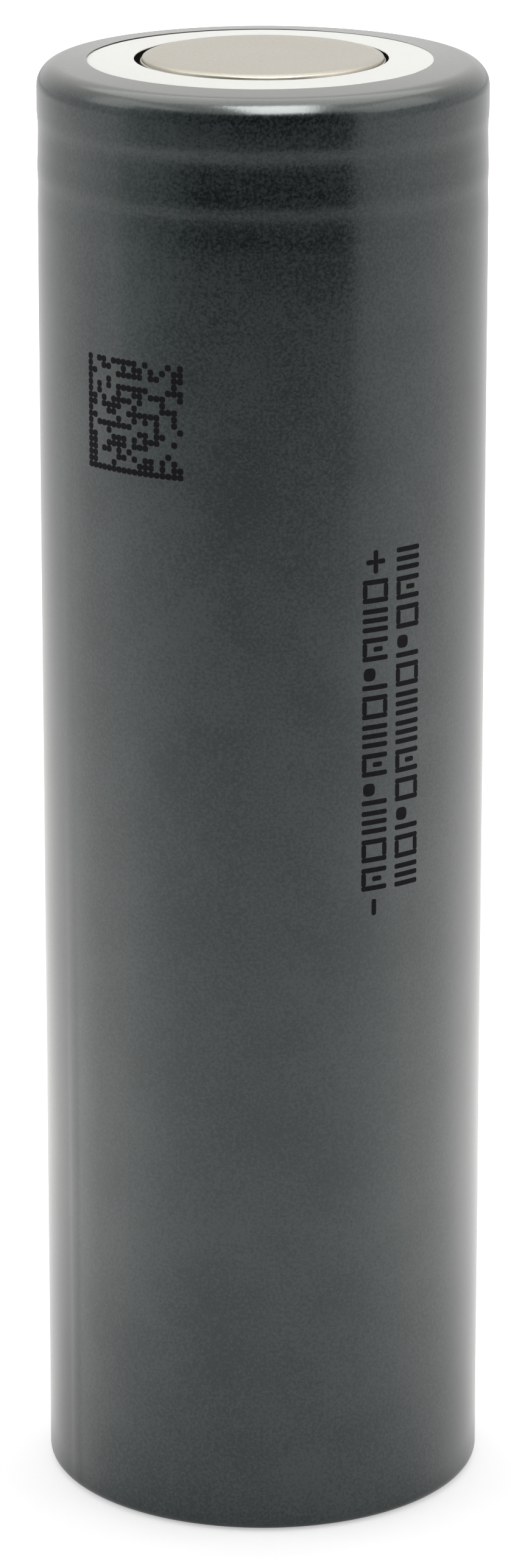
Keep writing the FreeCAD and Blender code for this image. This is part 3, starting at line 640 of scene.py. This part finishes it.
def wrap_ink(bm):
    """Thickens the flat patches and bends them round the film."""
    cut = [e for e in bm.edges if e.calc_length() > 0.3 * MM]
    bmesh.ops.subdivide_edges(bm, edges=cut, cuts=3, use_grid_fill=True)
    bmesh.ops.recalc_face_normals(bm, faces=bm.faces[:])
    raised = bmesh.ops.extrude_face_region(bm, geom=bm.faces[:])
    for vert in (g for g in raised["geom"] if isinstance(g, bmesh.types.BMVert)):
        vert.co.z = 1.0
    for vert in bm.verts:
        proud = INK_PROUD if vert.co.z > 0.5 else -INK_SUNK
        angle, height = vert.co.x / FILM_RADIUS - math.pi / 2, vert.co.y
        radius = FILM_RADIUS - film_pull(angle, height) + proud
        vert.co = (radius * math.cos(angle), radius * math.sin(angle), height)
    bmesh.ops.recalc_face_normals(bm, faces=bm.faces[:])


def ink_mesh():
    """The square of dots, solid along two borders, and the two rows of marks."""
    bm = bmesh.new()
    chance = random.Random(21)
    for row in range(DOT_COUNT):
        for column in range(DOT_COUNT):
            solid_border = column == 0 or row == 0
            if solid_border or chance.random() < DOT_SHARE:
                rounded_patch(bm, DOT_SIZE * 0.98, DOT_SIZE * 0.98,
                              (FIRST_DOT[0] + column * DOT_SIZE, FIRST_DOT[1] + row * DOT_SIZE))
    arm = 0.38 * MM
    plus = [(STROKE, MARK_ALONG, 0, 0)] + [(arm, STROKE, side * (STROKE + arm) / 2, 0) for side in (-1, 1)]
    minus = [(STROKE, 0.8 * MM, 0, 0)]
    row_gap, wall = (MARK_ALONG - STROKE) / 2, (MARK_ACROSS - STROKE) / 2
    sides = [(MARK_ACROSS, STROKE, 0, side * row_gap) for side in (-1, 1)]
    ends = [(STROKE, MARK_ALONG - 2 * STROKE, side * wall, 0) for side in (-1, 1)]
    box, rows = sides + ends, sides + [(MARK_ACROSS, STROKE, 0, 0)]
    tray = sides + ends[:1] + [(0.5 * MM, STROKE, 0.15 * MM, 0)]
    steps = sides[:1] + [(0.62 * MM, 0.62 * MM, -0.3 * MM, 0.2 * MM)]
    mark_column(bm, LEFT_ROW, [plus] + [box, rows, tray, steps] * 2 + [rows, box, tray] + [minus])
    mark_column(bm, RIGHT_ROW, [rows, tray, box, steps, box, rows] * 2)
    wrap_ink(bm)
    return bm


def ink_material():
    """Ink that is nearly black and hardly shines."""
    material = grained_material(
        "matt_black_jet_ink", (0.0025, 0.0022, 0.0040), (0.0060, 0.0055, 0.0085), 6000, roughness=(0.70, 0.85),
        bump=0.3,
    )
    material.node_tree.nodes["Principled BSDF"].inputs["Specular IOR Level"].default_value = 0.12
    return material


printed_marks = finished("printed_marks", ink_mesh(), ink_material())
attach(printed_marks, "root")


# ---------------------------------------------------------------- studio
# A plain pale floor that fades into a white surround, two large side softboxes and one overhead, a small key
# softbox above the camera, and a dark flag in front that only reflections see.

def from_the_front(tree):
    """1 for rays from the camera, from a reflection or through glass, and 0 for light that falls on surfaces."""
    ray = add_node(tree, "ShaderNodeLightPath")
    either = calculate(tree, "MAXIMUM", ray.outputs["Is Camera Ray"], ray.outputs["Is Glossy Ray"])
    return calculate(tree, "MAXIMUM", either, ray.outputs["Is Transmission Ray"])


def flat_sheet(name, corners, material):
    """A level sheet that faces up."""
    bm = bmesh.new()
    bmesh.ops.contextual_create(bm, geom=[bm.verts.new(corner) for corner in corners])
    bm.normal_update()
    bmesh.ops.reverse_faces(bm, faces=[face for face in bm.faces if face.normal.z < 0])
    return finished(name, bm, material)


def ramp(tree, value, start, end, low=0.0, high=1.0):
    """low where value is at or under start, high at or past end."""
    return add_node(tree, "ShaderNodeMapRange", None, {
        "Value": value, "From Min": start, "From Max": end, "To Min": low, "To Max": high}).outputs["Result"]


def floor_glow(tree):
    """The floor's own light, as strength and colour: white to the camera, and in reflections brighter near the object
    and beside it, where it is a little warm."""
    place = add_node(tree, "ShaderNodeTexCoord").outputs["Object"]
    distance = add_node(tree, "ShaderNodeVectorMath", {"operation": "LENGTH"}, {0: place}).outputs["Value"]
    axes = add_node(tree, "ShaderNodeSeparateXYZ", None, {0: place})
    forward = calculate(tree, "MULTIPLY", axes.outputs["Y"], -1.0)
    ahead = calculate(tree, "DIVIDE", forward, distance)
    beside = ramp(tree, ahead, 0.95, 0.30)
    all_round = ramp(tree, distance, 0.20, 0.06, 0.05, 0.55)
    at_sides = calculate(tree, "MULTIPLY", beside, ramp(tree, distance, 0.34, 0.07, 0.40, 0.84))
    # right under the cell the glow is even, so that nothing is mirrored in its base
    at_sides = calculate(tree, "MULTIPLY", at_sides, ramp(tree, distance, 0.0106, 0.0125))
    ray = add_node(tree, "ShaderNodeLightPath")
    seen = calculate(tree, "MAXIMUM", ray.outputs["Is Camera Ray"], ray.outputs["Is Transmission Ray"])
    lit = calculate(tree, "MULTIPLY", calculate(tree, "ADD", all_round, at_sides),
                    ramp(tree, distance, 0.012, 0.05, 0.45, 1.0))
    lit = calculate(tree, "MULTIPLY", lit, ramp(tree, ahead, -0.45, -0.97, 1.0, 0.5))
    mirrored = calculate(tree, "MULTIPLY", ray.outputs["Is Glossy Ray"], lit)
    direct = calculate(tree, "MULTIPLY", seen, ramp(tree, distance, 0.12, 0.5, 0.45, 1.0))
    strength = calculate(tree, "ADD", direct, mirrored)
    warm = calculate(tree, "MULTIPLY", ray.outputs["Is Glossy Ray"], beside)
    return strength, mixed_colour(tree, warm, (1, 1, 1, 1), (1.0, 0.965, 0.945, 1))


def floor_material():
    """Pale card with the floor's glow, seen only from above."""
    material = bpy.data.materials.new("pale_floor")
    material.use_nodes = True
    tree = material.node_tree
    tree.nodes.clear()
    paper = add_node(tree, "ShaderNodeBsdfDiffuse", None, {"Color": (0.86, 0.86, 0.86, 1)})
    strength, colour = floor_glow(tree)
    glow = add_node(tree, "ShaderNodeEmission", None, {"Strength": strength, "Color": colour})
    lit = add_node(tree, "ShaderNodeAddShader", None, {0: paper.outputs[0], 1: glow.outputs[0]})
    clear = add_node(tree, "ShaderNodeBsdfTransparent")
    side = add_node(tree, "ShaderNodeNewGeometry")
    shown = add_node(tree, "ShaderNodeMixShader", None,
                     {0: side.outputs["Backfacing"], 1: lit.outputs[0], 2: clear.outputs[0]})
    add_node(tree, "ShaderNodeOutputMaterial", None, {"Surface": shown.outputs[0]})
    return material


FLOOR_HALF = 2.5
FLOOR_LEVEL = cad_low.z - 0.02 * MM
floor_corners = [(x * FLOOR_HALF, y * FLOOR_HALF, FLOOR_LEVEL) for x, y in ((-1, -1), (1, -1), (1, 1), (-1, 1))]
floor = flat_sheet("floor", floor_corners, floor_material())


FLAG_DISTANCE = 0.24
FLAG_HEIGHT = 0.265
FLAG_LEFT, FLAG_RIGHT = math.radians(-76), math.radians(46)


def flag_material():
    """Near black, turning pale at its left side and grey towards the floor. It glows and only reflections see it, so
    it is a painted reflection.
    """
    material = bpy.data.materials.new("dark_flag")
    material.use_nodes = True
    tree = material.node_tree
    tree.nodes.clear()
    place = add_node(tree, "ShaderNodeSeparateXYZ", None, {0: add_node(tree, "ShaderNodeTexCoord").outputs["Object"]})
    forward = calculate(tree, "MULTIPLY", place.outputs["Y"], -1.0)
    turn = calculate(tree, "ARCTAN2", place.outputs["X"], forward)
    left = ramp(tree, turn, math.radians(-34), FLAG_LEFT, 0.03, 0.95)
    foot = ramp(tree, place.outputs["Z"], 0.016, 0.0, 0.03, 0.55)
    # the glow, pale at the left side and grey towards the floor, is a painted reflection
    glow = add_node(tree, "ShaderNodeEmission", None,
                    {"Color": (0.88, 1, 0.98, 1), "Strength": calculate(tree, "MAXIMUM", left, foot)})
    add_node(tree, "ShaderNodeOutputMaterial", None, {"Surface": glow.outputs[0]})
    return material


def flag_mesh():
    """A curved card that stands on the floor in front of the object."""
    bm = bmesh.new()
    foot, head = bm.verts.new((0, -FLAG_DISTANCE, 0)), bm.verts.new((0, -FLAG_DISTANCE, FLAG_HEIGHT))
    edge = bm.edges.new((foot, head))
    bmesh.ops.rotate(bm, verts=bm.verts[:], cent=(0, 0, 0), matrix=Matrix.Rotation(FLAG_LEFT, 3, "Z"))
    bmesh.ops.spin(bm, geom=[foot, head, edge], cent=(0, 0, 0), axis=(0, 0, 1), angle=FLAG_RIGHT - FLAG_LEFT, steps=24,
                   use_merge=False, use_duplicate=False)
    return bm


flag = finished("dark_flag", flag_mesh(), flag_material())
flag.visible_camera = False
flag.visible_diffuse = False
flag.visible_shadow = False
flag.visible_transmission = False


def softbox(name, place, aim, size, power):
    """A rectangular area light, in metres and watts, that the camera doesn't see."""
    lamp = bpy.data.lights.new(name, "AREA")
    lamp.shape = "RECTANGLE"
    lamp.size, lamp.size_y = size
    lamp.energy = power
    made = bpy.data.objects.new(name, lamp)
    made.location = place
    made.rotation_euler = (Vector(aim) - Vector(place)).to_track_quat("-Z", "Y").to_euler()
    bpy.context.scene.collection.objects.link(made)
    made.visible_camera = False
    return made


softbox("left_softbox", (-0.70, -0.10, 0.60), (0, 0, 0.03), (0.7, 0.5), 1.6)
softbox("right_softbox", (0.70, -0.10, 0.60), (0, 0, 0.03), (0.7, 0.5), 1.6)
softbox("top_softbox", (0, 0.30, 0.75), (0, 0, 0.07), (0.95, 0.65), 3.1)
key = softbox("key_softbox", (0.04, -0.20, 0.50), (0, 0, 0.07), (0.24, 0.34), 3.2)
key.visible_diffuse = False


def surround():
    """A white surround, at full strength where it is seen and dimmer as a light."""
    world = bpy.data.worlds.new("white_surround")
    bpy.context.scene.world = world
    world.use_nodes = True
    tree = world.node_tree
    tree.nodes.clear()
    strength = spread(tree, from_the_front(tree), 0.38, 1.0)
    sky = add_node(tree, "ShaderNodeBackground", None, {"Color": (1, 1, 1, 1), "Strength": strength})
    add_node(tree, "ShaderNodeOutputWorld", None, {"Surface": sky.outputs[0]})


surround()
bpy.context.scene.view_settings.view_transform = "Standard"


# ---------------------------------------------------------------- camera
# A long lens close to the cell, looking slightly down on it, so that the base looks narrower than the top.

CAMERA_PLACE = (-0.096 * MM, -275.43 * MM, 118.33 * MM)
CAMERA_DIP = math.radians(16.912)

lens = bpy.data.cameras.new("camera")
lens.lens = 136.514
lens.sensor_width = 36
lens.clip_start, lens.clip_end = 0.01, 20
camera = bpy.data.objects.new("camera", lens)
camera.location = CAMERA_PLACE
camera.rotation_euler = (math.pi / 2 - CAMERA_DIP, 0, 0)
bpy.context.scene.collection.objects.link(camera)
bpy.context.scene.camera = camera
